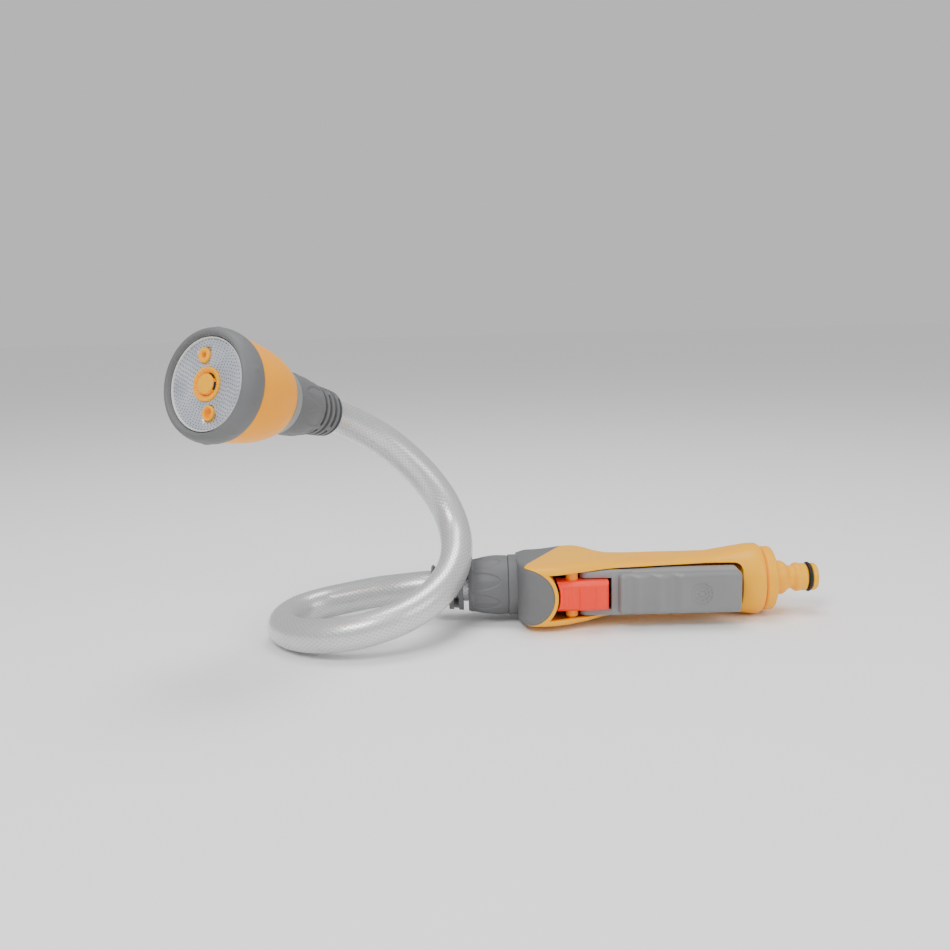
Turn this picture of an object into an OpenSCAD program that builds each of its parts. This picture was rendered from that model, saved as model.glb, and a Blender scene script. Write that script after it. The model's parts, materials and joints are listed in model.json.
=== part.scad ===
// Watering wand: an in-line trigger handle, a bendable hose that holds its shape, and a spray head.
// The wand lies on its side on the ground, with its trigger facing -Y and its water inlet towards +X.

/* [Handle] */
// Height of the handle's axis above the ground, which its tail block rests on
axis_h = 20.5; // [20.5:0.5:26]
// Radius of the round tail block at the inlet end
tail_r = 20.5; // [18.5:0.1:20.5]
// Half the thickness of the flat front part of the handle
front_half = 17.5; // [16.5:0.1:18.5]
// Half the thickness of the grip
grip_half = 15.7; // [15.2:0.1:17]
// Wall of the handle shell
shell_wall = 2.2; // [1.6:0.1:2.6]
// Radius of the round cheek of the nose housing that shows between the shell's two horns
cheek_r = 16; // [14:0.1:16.5]
// Radius of the round collar that carries the hose nut
collar_r = 17.4; // [16:0.1:18]

/* [Trigger] */
// Distance from the trigger's pivot to its free end
trigger_l = 86; // [70:1:87]
// Half the height of the trigger's finger pad
pad_half = 12; // [9:0.1:12.6]
// Thickness of the soft finger pad
pad_t = 5.6; // [3:0.1:6]
// Depth of the finger scallops
scallop = 1.2; // [0.4:0.1:2]
// Radius of the trigger's pivot pin
pin_r = 2; // [1.5:0.1:2.6]
// Turn of the trigger when it is squeezed home, in degrees
squeeze = 7; // [4:0.5:7]
// Half the height of the lock block between the trigger's arms
lock_half = 8.4; // [7:0.1:8.8]

/* [Valve] */
// Distance from the trigger's pivot to the valve stem
stem_from_pivot = 38; // [30:1:44]
// Radius of the valve stem
stem_r = 2.4; // [1.8:0.1:2.8]
// Radius of the cross bore that the poppet moves in
poppet_bore_r = 4.6; // [4.2:0.1:5]
// Outside radius of the water tubes
tube_r = 7; // [5.6:0.1:7.4]
// Radius of the water way through tubes and valve
water_r = 4.2; // [3:0.1:4.4]

/* [Inlet] */
// Radius of the spigot's nose, which the hose coupling slides over
nose_r = 7.95; // [7.5:0.05:8.2]
// Radius of the locking ridge
ridge_r = 8.35; // [8.2:0.05:8.8]
// Radius of the neck behind the ridge, which the coupling's claws grip
neck_r = 6.65; // [6.2:0.05:7]
// Radius of the tail flange
flange_r = 18.4; // [14:0.1:18.4]

/* [Hose] */
// Outside diameter of the hose
hose_d = 18.2; // [16:0.1:18.4]
// Bore of the hose
hose_bore = 12.6; // [11.6:0.1:13]
// Diameter of the forming wire that lets the hose hold its bend
wire_d = 3.4; // [2:0.1:4]
// Largest bend at each modelled hose joint, in degrees
hose_bend = 25; // [10:1:28]

/* [Hose nuts] */
// Length of the handle's hose nut, with its slotted sleeve
handle_nut_l = 44.4; // [42:0.1:48]
// Length of the slotted sleeve on the handle's nut
handle_sleeve_l = 23; // [18:0.5:25]
// Largest radius of the handle's hose nut
handle_nut_r = 17.3; // [16.6:0.1:17.4]
// Length of the head's hose nut, with its slotted sleeve
head_nut_l = 38.6; // [36:0.1:44]
// Length of the slotted sleeve on the head's nut
head_sleeve_l = 18; // [15:0.5:20]
// Largest radius of the head's hose nut
head_nut_r = 16.4; // [15.8:0.1:17.4]
// Radius of both sleeves at their tips
sleeve_tip_r = 12.6; // [12:0.1:13.4]

/* [Spray head] */
// Distance from the sleeve's tip to the rose plate's face
head_l = 87; // [84:0.5:100]
// Radius of the bezel at its widest
bezel_r = 27.5; // [25.5:0.1:29]
// Radius of the rose plate
rose_r = 22.2; // [20:0.1:22.4]
// Radius of the centre cone nozzle
cone_r = 8.3; // [6.5:0.1:9]
// Distance of the two jet nozzles from the head's axis
jet_at = 14; // [13:0.1:15]
// Turn of the line through the two jets about the head's axis, in degrees
face_turn = 14; // [-45:1:45]

/* [Hidden] */

// Small fits and gaps
running_gap = 0.05;
loose_gap = 0.3;
tiny = 0.01;

// Places along the handle
spigot_x = -2;
tail_x = -36;
tail_bore_x = -48;
window_right_x = -48.7;
inlet_barrel_x = -50;
inlet_barrel_r = 10;
trigger_pivot = [-138, -19.5];
lock_pivot = [-146.5, -22];
pin_half = 15;
stem_x = trigger_pivot[0] + stem_from_pivot;
cheek_x = -172.8;
collar_x = [-181.6, -172];
sleeve_x = collar_x[0] - handle_nut_l;
hose_stop = 4;

// Stations of the handle's outer skin: x, front y, back y, half thickness and squareness
skin = [
    [-176.5, -19, 17.4, front_half - 0.5, 4], [-174, -27, 17.6, front_half - 0.2, 6],
    [-170, -30.6, 18, front_half, 9], [-164, -32, 18.8, front_half, 9],
    [-157, -31.6, 21.4, front_half, 9], [-150, -29.6, 25, front_half, 9],
    [-142.5, -26.6, 26.6, front_half, 8], [-136, -24.4, 24, front_half - 0.3, 6.4],
    [-130, -22.6, 19, grip_half + 0.8, 5], [-122, -21, 16, grip_half + 0.2, 4.2],
    [-107, -19, 14.8, grip_half, 4.4], [-84, -16.4, 14.8, grip_half, 4.2],
    [-68, -15.2, 15.4, grip_half + 0.3, 3.4], [-56, -15.8, 17, grip_half + 2, 2.8],
    [-47.5, -18.2, 19, tail_r - 1, 2.2], [-40, -19.9, 20.1, tail_r, 2.04],
    [-37, -20, 20.2, tail_r, 2], [tail_x, -19.2, 19.4, tail_r - 1, 2]
];
skin_points = 28;

// Route of the hose's centre line, from the handle's sleeve to the head's
head_at = [-279, -26, 126];
head_turn = -120.6;
head_tilt = 14.8;
head_dir = [
    cos(head_tilt) * cos(head_turn), cos(head_tilt) * sin(head_turn), sin(head_tilt)
];
route_low = [
    [-241, 1, 19.2], [-257, 3.5, 17], [-273, 4, 14.2], [-289, 2, 11.6], [-301.5, -6, 10],
    [-307.5, -19, 9.2], [-306.5, -34, 9.2], [-298.5, -47, 9.8], [-286.5, -56.5, 11.2],
    [-272, -61.5, 13.2], [-257, -61.5, 15.8], [-242, -57, 19.4], [-229.5, -49, 24],
    [-219.5, -38, 29.8], [-213, -25.5, 37], [-210.5, -13.5, 46]
];
bend_low_at = [-212.4, -2.2, 57];
route_mid = [[-218, 4.6, 69.5], [-227, 7.4, 82.5], [-237.5, 6.4, 94.5], [-248.5, 2.6, 105]];
bend_top_at = [-259.5, -4, 113.4];
route_top = [[-270, -14, 120.6]];
bend_gap = hose_d / 2 * tan(hose_bend / 2) + 0.6;
tube_sides = 12;

// Places along the head's axis, measured from the sleeve's tip towards the face
bowl_rear = head_nut_l + 5.7;
bowl_front = head_l - 10.4;
bowl_wall = 2;
bowl_bore_r = bezel_r - 4.6;
distributor_z = [bowl_front - 9.4, bowl_front - 6];
carrier_z = [bowl_front - 3.6, bowl_front + 2.4];
plate_z = [head_l - 2.6, head_l];
bezel_front = head_l + 3;
screw_r = 2.5;
tail_spigot_r = 9;
port_at = 14;
port_r = 3;
ball_r = 1.5;
ball_at = 19;
ball_lift = 0.4;

// The part's frame has its origin on the ground, under the middle of the handle and head
head_reach = head_at + head_dir * (bezel_front - 2);
frame_x = -(head_reach[0] - bezel_r * sqrt(1 - pow(head_dir[0], 2)) + 0.6 + spigot_x) / 2;
frame_y = -(head_reach[1] - bezel_r * sqrt(1 - pow(head_dir[1], 2)) + 26.6) / 2;

function unit(v) = v / norm(v);
function signed_power(v, p) = sign(v) * pow(abs(v), p);

// Moves a shape from the handle's own axes to the part's frame
module in_frame() {
    translate([frame_x, frame_y, 0])
        children();
}

// Puts a shape drawn along +Z on the handle's axis, starting at x and pointing to +X
module on_axis(x) {
    translate([x, 0, axis_h])
        rotate([0, 90, 0])
            children();
}

// Puts a shape drawn along +Z on an upright axis that crosses the handle's middle plane
module upright(at) {
    translate([at[0], at[1], axis_h])
        children();
}

// Puts a shape drawn along +Z across the handle, pointing to +Y, at the valve
module across(x, y) {
    translate([x, y, axis_h])
        rotate([-90, 0, 0])
            children();
}

// Puts a shape drawn along +Z on the head's axis, starting at the sleeve's tip
module on_head() {
    translate(head_at)
        rotate([0, 90 - head_tilt, head_turn])
            children();
}

// A round shell from z0 to z1 with an outside and an inside radius
module ring(z0, z1, outer, inner) {
    translate([0, 0, z0])
        difference() {
            cylinder(h = z1 - z0, r = outer, $fn = 64);
            translate([0, 0, -1])
                cylinder(h = z1 - z0 + 2, r = inner, $fn = 64);
        }
}

// A seal ring of round section
module seal_ring(r, section, z) {
    translate([0, 0, z])
        rotate_extrude($fn = 48)
            translate([r, 0])
                circle(r = section, $fn = 24);
}

// One closed cross-section of the handle's skin, grown or shrunk by an inset
function skin_ring(s, inset) = [
    for (i = [0 : skin_points - 1])
        let (
            a = 360 * i / skin_points,
            c = signed_power(cos(a), 2 / s[4]),
            w = signed_power(sin(a), 2 / s[4]),
            half = (s[2] - s[1]) / 2 - inset
        )
        [s[0], (s[1] + s[2]) / 2 + half * c, axis_h + (s[3] - inset) * w]
];

// Faces that join rings of n points into one closed body
function ring_faces(rings, n) = concat(
    [[for (i = [0 : n - 1]) i]],
    [[for (i = [n - 1 : -1 : 0]) (rings - 1) * n + i]],
    [
        for (k = [0 : rings - 2], i = [0 : n - 1], half = [0, 1])
            let (j = (i + 1) % n)
            half == 0
                ? [k * n + j, k * n + i, (k + 1) * n + i]
                : [k * n + j, (k + 1) * n + i, (k + 1) * n + j]
    ]
);

// The handle's skin as a solid, from station a to station b
module skin_solid(inset, a, b) {
    rings = [for (k = [a : b]) skin_ring(skin[k], inset)];
    polyhedron(
        points = [for (r = rings, p = r) p],
        faces = ring_faces(len(rings), skin_points),
        convexity = 8
    );
}

// Everything left of the slanted seam between the nose housing and the shell
module left_of_seam() {
    linear_extrude(height = 4 * axis_h, center = true)
        polygon([[-230, -60], [-192, -60], [-138.5, 40], [-230, 40]]);
}

// The round cheek opening between the shell's two horns, cut from the front
module cheek_cut(r) {
    across(cheek_x, -60)
        cylinder(h = 46, r = r, $fn = 72);
}

// The area that belongs to the nose housing
module nose_area() {
    translate([0, 0, axis_h])
        left_of_seam();
    cheek_cut(cheek_r);
}

module handle_shell() {
    wall_r = cheek_r + shell_wall;
    color("#FDB813") in_frame()
        difference() {
            skin_solid(0, 0, len(skin) - 1);
            nose_area();
            shell_cavity(wall_r);
            trigger_window(wall_r);
            on_axis(tail_bore_x - 1)
                cylinder(h = 20, r = inlet_barrel_r + running_gap, $fn = 64);
            for (p = [trigger_pivot, lock_pivot])
                upright(p)
                    cylinder(h = 2 * pin_half, r = pin_r + running_gap, center = true, $fn = 32);
        }
}

// The hollow inside of the shell
module shell_cavity(wall_r) {
    difference() {
        skin_solid(shell_wall, 3, 14);
        across(cheek_x, -60)
            cylinder(h = 46, r = wall_r, $fn = 72);
        translate([tail_bore_x, -40, -40])
            cube([40, 80, 120]);
    }
}

// The opening that the trigger and its lock stand in
module trigger_window(wall_r) {
    window_half = pad_half + 1.1;
    corner = 4;
    translate([0, -5, axis_h])
        rotate([90, 0, 0])
            linear_extrude(height = 40)
                difference() {
                    union() {
                        translate([cheek_x, -window_half])
                            square([window_right_x - corner - cheek_x, 2 * window_half]);
                        for (side = [-1, 1])
                            translate([window_right_x - corner, side * (window_half - corner)])
                                circle(r = corner, $fn = 32);
                        translate([window_right_x - corner - 1, corner - window_half])
                            square([corner + 1, 2 * (window_half - corner)]);
                    }
                    translate([cheek_x, 0])
                        circle(r = wall_r, $fn = 72);
                }
}

module nose_housing() {
    color("#77797B") in_frame()
        difference() {
            union() {
                intersection() {
                    skin_solid(0, 0, 7);
                    nose_area();
                }
                on_axis(collar_x[0])
                    cylinder(h = collar_x[1] - collar_x[0], r = collar_r, $fn = 72);
            }
            on_axis(collar_x[0] - 1)
                cylinder(h = 60, r = tube_r + loose_gap, $fn = 48);
            on_axis(collar_x[0] - 1)
                cylinder(h = 1 + hose_stop, r = 12.4, $fn = 48);
        }
}

// The spigot's outline from its open end back to the flange, as radius and distance
spigot_outline = [
    [0, 0], [nose_r - 1.2, 0], [nose_r, 1.2], [nose_r, 3.4], [nose_r - 1.5, 3.4],
    [nose_r - 1.5, 6.4], [nose_r, 6.4], [nose_r, 9.8], [ridge_r, 10.8], [ridge_r, 12.6],
    [neck_r, 14.6], [neck_r, 16.4], [neck_r + 2.3, 19], [nose_r + 1.85, 20.4],
    [nose_r + 1.85, 26.6], [flange_r - 1.2, 26.6], [flange_r, 27.8], [flange_r, 31.7],
    [flange_r - 1.1, 32.8], [16.6, 32.8], [16.6, spigot_x - tail_x],
    [inlet_barrel_r, spigot_x - tail_x], [inlet_barrel_r, spigot_x - inlet_barrel_x],
    [0, spigot_x - inlet_barrel_x]
];

module inlet_spigot() {
    color("#FDB515") in_frame()
        difference() {
            on_axis(spigot_x)
                mirror([0, 0, 1])
                    rotate_extrude($fn = 96)
                        polygon(spigot_outline);
            on_axis(-53)
                cylinder(h = 60, r = water_r + 0.6, $fn = 48);
        }
}

module inlet_seal_ring() {
    color("#1E1E1E") in_frame()
        on_axis(spigot_x)
            seal_ring(nose_r - 0.4, 1.1, -4.9);
}

module inlet_strainer() {
    color("#C9C9C6") in_frame()
        on_axis(spigot_x - 12) {
            ring(0, 2, water_r + 0.5, water_r - 0.7);
            for (turn = [0, 60, 120])
                rotate(turn)
                    translate([-water_r, -0.4, 0.4])
                        cube([2 * water_r, 0.8, 1.2]);
        }
}

// Cross bodies of the valve stand on the water line at the stem
valve_half = 13;
valve_shoulder = [-12.4, 9.7];

module inlet_tube() {
    color("#D8D8D4") in_frame()
        on_axis(stem_x + valve_half - 3)
            ring(0, inlet_barrel_x - stem_x - valve_half + 3, tube_r - 1, water_r);
}

module outlet_tube() {
    end_x = stem_x - valve_half + 3;
    barb_tip = sleeve_x + 8;
    color("#5C5E60") in_frame()
        on_axis(0)
            difference() {
                union() {
                    translate([0, 0, barb_tip])
                        barb(collar_x[0] - barb_tip + 4);
                    translate([0, 0, collar_x[0] + 4])
                        cylinder(h = end_x - collar_x[0] - 4, r = tube_r, $fn = 48);
                    translate([0, 0, collar_x[0] - hose_stop])
                        cylinder(h = 2 * hose_stop, r = 12, $fn = 48);
                }
                translate([0, 0, barb_tip - 1])
                    cylinder(h = 160, r = water_r, $fn = 48);
            }
}

// A hose barb of the given length, its tip at the start
module barb(l) {
    rib = 5;
    body_r = hose_bore / 2 - 0.9;
    cylinder(h = l, r = body_r, $fn = 48);
    for (k = [0 : 3])
        translate([0, 0, k * rib])
            cylinder(h = rib - 1.4, r1 = body_r - 0.3, r2 = hose_bore / 2 - 0.35, $fn = 48);
}

module valve_body() {
    color("#6B6D6F") in_frame()
        difference() {
            union() {
                on_axis(stem_x - valve_half)
                    cylinder(h = 2 * valve_half, r = 9.6, $fn = 48);
                across(stem_x, valve_shoulder[0])
                    cylinder(h = valve_shoulder[1] - valve_shoulder[0], r = 8.4, $fn = 48);
            }
            on_axis(stem_x - valve_half - 1)
                cylinder(h = 4, r = tube_r + running_gap, $fn = 48);
            on_axis(stem_x + valve_half - 3)
                cylinder(h = 4, r = tube_r - 1 + running_gap, $fn = 48);
            on_axis(stem_x - valve_half)
                cylinder(h = 2 * valve_half, r = water_r, $fn = 48);
            across(stem_x, gland_y)
                cylinder(h = 30, r = poppet_bore_r, $fn = 48);
            across(stem_x, valve_shoulder[0] - 1)
                cylinder(h = 10, r = stem_r + running_gap, $fn = 32);
            across(stem_x, valve_shoulder[0] - 1)
                cylinder(h = 2.4, r = stem_r + loose_gap + 1.2, $fn = 32);
        }
}

module valve_cap() {
    color("#56585A") in_frame()
        across(stem_x, valve_shoulder[1]) {
            cylinder(h = 1.4, r = 8.4, $fn = 48);
            translate([0, 0, -2.4])
                cylinder(h = 2.4 + tiny, r = poppet_bore_r - running_gap, $fn = 48);
        }
}

stem_tip_y = trigger_pivot[1] - 0.3;
gland_y = valve_shoulder[0] + 3.4;
poppet_y = gland_y + 0.6;
poppet_t = 2;
module valve_stem() {
    tip = 1.4;
    color("#B9A36A") in_frame()
        across(stem_x, 0) {
            translate([0, 0, stem_tip_y])
                cylinder(h = tip + tiny, r1 = stem_r - 0.9, r2 = stem_r, $fn = 32);
            translate([0, 0, stem_tip_y + tip])
                cylinder(h = poppet_y - stem_tip_y - tip + tiny, r = stem_r, $fn = 32);
            translate([0, 0, poppet_y])
                cylinder(h = poppet_t, r = poppet_bore_r - loose_gap, $fn = 48);
            translate([0, 0, poppet_y + poppet_t - tiny])
                cylinder(h = 2, r = 1.6, $fn = 32);
        }
}

module stem_seal_ring() {
    color("#1E1E1E") in_frame()
        across(stem_x, valve_shoulder[0] + 0.7)
            seal_ring(stem_r + loose_gap + 0.6, 0.6, 0);
}

module valve_spring() {
    turns = 6;
    wire = 0.45;
    pitch = 2 * wire - 0.02;
    color("#B8BABC") in_frame()
        across(stem_x, poppet_y + poppet_t)
            for (k = [0 : turns - 1])
                seal_ring(poppet_bore_r - 1.6, wire, wire + k * pitch);
}

// Outline of the trigger's lever seen from above: the bar behind the pad
lever_back = -trigger_pivot[1] + 0.7;
lever_front = lever_back + 4;
pad_left_x = -121;
trigger_end_x = trigger_pivot[0] + trigger_l;

module trigger_lever() {
    arm = [lock_half + 0.6, pad_half + 0.5];
    arm_r = 4;
    wall = 1.6;
    wall_back = 6.2;
    color("#8B8D8F") in_frame()
        difference() {
            union() {
                translate([pad_left_x, -lever_front, axis_h - pad_half])
                    cube([trigger_end_x - pad_left_x, lever_front - lever_back, 2 * pad_half]);
                for (low = [-pad_half, pad_half - wall])
                    translate([pad_left_x, -lever_front, axis_h + low])
                        cube([trigger_end_x - pad_left_x, lever_front - lever_back + wall_back, wall]);
                for (side = [-1, 1])
                    translate([0, 0, axis_h + side * (arm[0] + arm[1]) / 2])
                        linear_extrude(height = arm[1] - arm[0], center = true)
                            union() {
                                translate(trigger_pivot)
                                    circle(r = arm_r, $fn = 48);
                                polygon([
                                    [trigger_pivot[0], trigger_pivot[1] + arm_r],
                                    [trigger_pivot[0], trigger_pivot[1] - arm_r],
                                    [pad_left_x + 8, -lever_front],
                                    [pad_left_x + 8, -lever_back]
                                ]);
                            }
            }
            upright(trigger_pivot)
                cylinder(h = 60, r = pin_r + running_gap, center = true, $fn = 32);
        }
}

// Front edge of the finger pad: a wave with three finger hollows in its first half
function pad_front(x) =
    let (f = (x - pad_left_x) / (trigger_end_x - pad_left_x))
    -lever_front - pad_t + scallop * (f < 0.6 ? 0.5 - 0.5 * cos(360 * 3 * f / 0.6) : 0.5 * sin(180 * (f - 0.6) / 0.4));

module finger_pad() {
    steps = 36;
    end_r = 3;
    xs = [for (i = [0 : steps]) pad_left_x + end_r + (trigger_end_x - pad_left_x - 2 * end_r) * i / steps];
    color("#9A9C9E") in_frame()
        translate([0, 0, axis_h])
            linear_extrude(height = 2 * pad_half - 0.4, center = true)
                polygon(concat(
                    [[pad_left_x + 0.3, -lever_front], [pad_left_x + 0.3, -lever_front - pad_t + end_r]],
                    [for (x = xs) [x, pad_front(x)]],
                    [[trigger_end_x, -lever_front - pad_t + end_r], [trigger_end_x, -lever_front]]
                ));
}

module trigger_pin() {
    inner = lock_half + 0.6;
    color("#B8BABC") in_frame()
        upright(trigger_pivot)
            for (side = [-1, 1])
                translate([0, 0, side * (pin_half + inner) / 2])
                    cylinder(h = pin_half - inner, r = pin_r, center = true, $fn = 32);
}

module lock_pin() {
    color("#F5A81A") in_frame()
        upright(lock_pivot)
            cylinder(h = 2 * pin_half, r = pin_r, center = true, $fn = 32);
}

module trigger_lock() {
    front = -30.2;
    back = -18.6;
    right_x = -126.6;
    bevel = 2.6;
    color("#EE5340") in_frame()
        difference() {
            union() {
                translate([0, 0, axis_h])
                    intersection() {
                        linear_extrude(height = 2 * lock_half, center = true)
                            polygon([
                                [cheek_x, front], [right_x - 1, front], [right_x, front + 1.6],
                                [right_x, back], [cheek_x, back]
                            ]);
                        rotate([90, 0, 90])
                            translate([0, 0, -200])
                                linear_extrude(height = 120)
                                    polygon([
                                        [back, -lock_half], [front + bevel, -lock_half],
                                        [front, bevel - lock_half], [front, lock_half - bevel],
                                        [front + bevel, lock_half], [back, lock_half]
                                    ]);
                    }
                upright(lock_pivot)
                    cylinder(h = 2 * pad_half + 1, r = 3.4, center = true, $fn = 40);
            }
            across(cheek_x, -60)
                cylinder(h = 60, r = cheek_r + shell_wall + 1.2, $fn = 72);
            upright(lock_pivot)
                cylinder(h = 60, r = pin_r + running_gap, center = true, $fn = 32);
        }
}

// A hose nut with its slotted sleeve; z = 0 is the sleeve's tip
module hose_nut(l, sleeve_l, r) {
    slots = 4;
    slot = 0.13 * sleeve_l;
    sleeve_bore = hose_d / 2 + loose_gap;
    difference() {
        rotate_extrude($fn = 96)
            polygon([
                [sleeve_tip_r - 1.4, 0], [sleeve_tip_r, 1.4], [r - 2.8, sleeve_l - 1.6],
                [r - 2.1, sleeve_l], [r - 0.5, sleeve_l + 7.5], [r, sleeve_l + 13],
                [r - 0.4, l], [13.2, l], [13.2, collet_z[0]], [sleeve_bore, collet_z[0]],
                [sleeve_bore, 0]
            ]);
        for (k = [0 : slots - 1])
            rotate(90 * (k % 2))
                flex_slots(sleeve_l * (0.13 + 0.245 * k) - slot / 2, slot);
    }
}

// A pair of slots, each half-way round, that leaves a bridge on two sides
module flex_slots(z, w) {
    bridge = 2.6;
    for (side = [-1, 1])
        translate([side * (bridge / 2 + 10), 0, z + w / 2])
            cube([20, 40, w], center = true);
}

module handle_nut() {
    color("#707274") in_frame()
        on_axis(sleeve_x)
            hose_nut(handle_nut_l, handle_sleeve_l, handle_nut_r);
}

module head_nut() {
    color("#707274") in_frame()
        on_head()
            hose_nut(head_nut_l, head_sleeve_l, head_nut_r);
}

// A collet that grips the hose on its barb, inside the nut
collet_z = [24, 31];
module collet() {
    difference() {
        ring(collet_z[0], collet_z[1], 12.6, hose_d / 2 + 0.1);
        for (turn = [0 : 60 : 300])
            rotate(turn)
                translate([0, -0.8, collet_z[0] + 2])
                    cube([20, 1.6, 8]);
    }
}

module handle_collet() {
    color("#3F4143") in_frame()
        on_axis(sleeve_x)
            collet();
}

module head_collet() {
    color("#3F4143") in_frame()
        on_head()
            collet();
}

// Directions at the two modelled bends, and where the hose stops inside the head's nut
tail_stop = head_nut_l - 6.6;
bend_low_dir = unit(route_mid[0] - route_low[len(route_low) - 1]);
bend_top_dir = unit(route_top[0] - route_mid[len(route_mid) - 1]);
sleeve_at = [sleeve_x, 0, axis_h];

low_line = concat(
    [sleeve_at + [handle_nut_l - hose_stop, 0, 0], sleeve_at + [4, 0, 0], sleeve_at - [3, 0, 0]],
    route_low, [bend_low_at - bend_low_dir * bend_gap]
);
mid_line = concat(
    [bend_low_at + bend_low_dir * bend_gap], route_mid, [bend_top_at - bend_top_dir * bend_gap]
);
top_line = concat(
    [bend_top_at + bend_top_dir * bend_gap], route_top,
    [head_at - head_dir * 2, head_at + head_dir * 4, head_at + head_dir * tail_stop]
);

// Direction of a line of points at point i
function heading(line, i) = unit(line[min(i + 1, len(line) - 1)] - line[max(i - 1, 0)]);

// A ring of points round a line at point i, counted round a slanted reference direction
function tube_ring(line, i, r, first, last, sides) =
    let (
        t = i == 0 ? first : (i == len(line) - 1 ? last : heading(line, i)),
        u = unit(cross(t, [1, -1, 1])),
        v = cross(t, u)
    )
    [for (k = [0 : sides - 1])
        line[i] + r * (cos(360 * k / sides) * u + sin(360 * k / sides) * v)];

// A solid tube along a line
module sweep(line, r, first, last, sides = tube_sides) {
    polyhedron(
        points = [for (i = [0 : len(line) - 1], p = tube_ring(line, i, r, first, last, sides)) p],
        faces = ring_faces(len(line), sides),
        convexity = 8
    );
}

// A three-cornered plate that holds the forming wire in the middle of the hose's bore
module wire_guide(at, along) {
    sweep([at, at + along * 1.5], hose_bore / 2, along, along, 3);
}

// A hollow tube along a line: an outer and an inner skin joined at both ends
module hollow_sweep(line, r, bore, first, last) {
    n = tube_sides;
    rows = len(line);
    outer = [for (i = [0 : rows - 1], p = tube_ring(line, i, r, first, last, n)) p];
    inner = [for (i = [0 : rows - 1], p = tube_ring(line, i, bore, first, last, n)) p];
    m = rows * n;
    end = (rows - 1) * n;
    sides = [
        for (k = [0 : rows - 2], i = [0 : n - 1], half = [0, 1])
            let (j = (i + 1) % n)
            half == 0
                ? [k * n + j, k * n + i, (k + 1) * n + i]
                : [k * n + j, (k + 1) * n + i, (k + 1) * n + j]
    ];
    polyhedron(
        points = concat(outer, inner),
        faces = concat(
            sides,
            [for (f = sides) [f[0] + m, f[2] + m, f[1] + m]],
            [for (i = [0 : n - 1]) let (j = (i + 1) % n) [i, j, j + m, i + m]],
            [for (i = [0 : n - 1]) let (j = (i + 1) % n) [end + j, end + i, end + i + m, end + j + m]]
        ),
        convexity = 8
    );
}

module hose_low() {
    color("#B9BBBC") in_frame()
        hollow_sweep(low_line, hose_d / 2, hose_bore / 2, [-1, 0, 0], bend_low_dir);
}

module hose_mid() {
    color("#B9BBBC") in_frame()
        hollow_sweep(mid_line, hose_d / 2, hose_bore / 2, bend_low_dir, bend_top_dir);
}

module hose_top() {
    color("#B9BBBC") in_frame()
        hollow_sweep(top_line, hose_d / 2, hose_bore / 2, bend_top_dir, head_dir);
}

// Each length of forming wire reaches a little way into the next length of hose
wire_past = bend_gap + 2;
wire_start = wire_past + 3;
module wire_low() {
    color("#8F9193") in_frame() {
        sweep(concat([low_line[0] - [12, 0, 0]], [for (i = [1 : len(low_line) - 1]) low_line[i]],
            [bend_low_at + bend_low_dir * wire_past]),
            wire_d / 2, [-1, 0, 0], bend_low_dir);
        wire_guide(bend_low_at - bend_low_dir * (bend_gap + 1.5), bend_low_dir);
    }
}

module wire_mid() {
    color("#8F9193") in_frame() {
        sweep(concat([bend_low_at + bend_low_dir * wire_start], route_mid,
            [bend_top_at + bend_top_dir * wire_past]),
            wire_d / 2, bend_low_dir, bend_top_dir);
        wire_guide(bend_top_at - bend_top_dir * (bend_gap + 1.5), bend_top_dir);
    }
}

module wire_top() {
    color("#8F9193") in_frame() {
        sweep(concat([bend_top_at + bend_top_dir * wire_start],
            [for (i = [2 : len(top_line) - 2]) top_line[i]], [head_at + head_dir * 20]),
            wire_d / 2, bend_top_dir, head_dir);
        wire_guide(route_top[0], unit(head_at - head_dir * 2 - route_top[0]));
    }
}

module head_tail() {
    barb_tip = 8;
    color("#8C8E90") in_frame()
        on_head()
            difference() {
                union() {
                    translate([0, 0, barb_tip])
                        barb(head_nut_l - barb_tip);
                    translate([0, 0, tail_stop])
                        cylinder(h = head_nut_l - tail_stop, r = 12, $fn = 48);
                    translate([0, 0, head_nut_l])
                        cylinder(h = bowl_rear - head_nut_l, r1 = head_nut_r, r2 = head_nut_r + 1.9, $fn = 96);
                    translate([0, 0, bowl_rear - tiny])
                        cylinder(h = 7, r = tail_spigot_r, $fn = 48);
                }
                translate([0, 0, barb_tip - 1])
                    cylinder(h = 60, r = water_r, $fn = 48);
            }
}

// The bowl's outside, as radius and distance from the sleeve's tip
bowl_outline = [
    [head_nut_r + 1.9, bowl_rear], [bezel_r - 7.2, bowl_rear + 1.7], [bezel_r - 5.5, bowl_rear + 4.7],
    [bezel_r - 3.9, bowl_rear + 9.7], [bezel_r - 2.7, bowl_rear + 15.7],
    [bezel_r - 2, bowl_rear + 22.7], [bezel_r - 1.5, bowl_front]
];

module bowl() {
    floor_z = bowl_rear + 2.4;
    color("#FAA61A") in_frame()
        on_head()
            rotate_extrude($fn = 96)
                polygon(concat(
                    [[tail_spigot_r + running_gap, bowl_rear]], bowl_outline,
                    [
                        [bowl_bore_r, bowl_front], [bowl_bore_r, bowl_rear + 14.7],
                        [bezel_r - 7.6, bowl_rear + 5.7], [bezel_r - 11, floor_z],
                        [tail_spigot_r + running_gap, floor_z]
                    ]
                ));
}

module bowl_seal_ring() {
    color("#1E1E1E") in_frame()
        on_head()
            seal_ring(tail_spigot_r + 1, 1, bowl_rear + 3.4);
}

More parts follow.
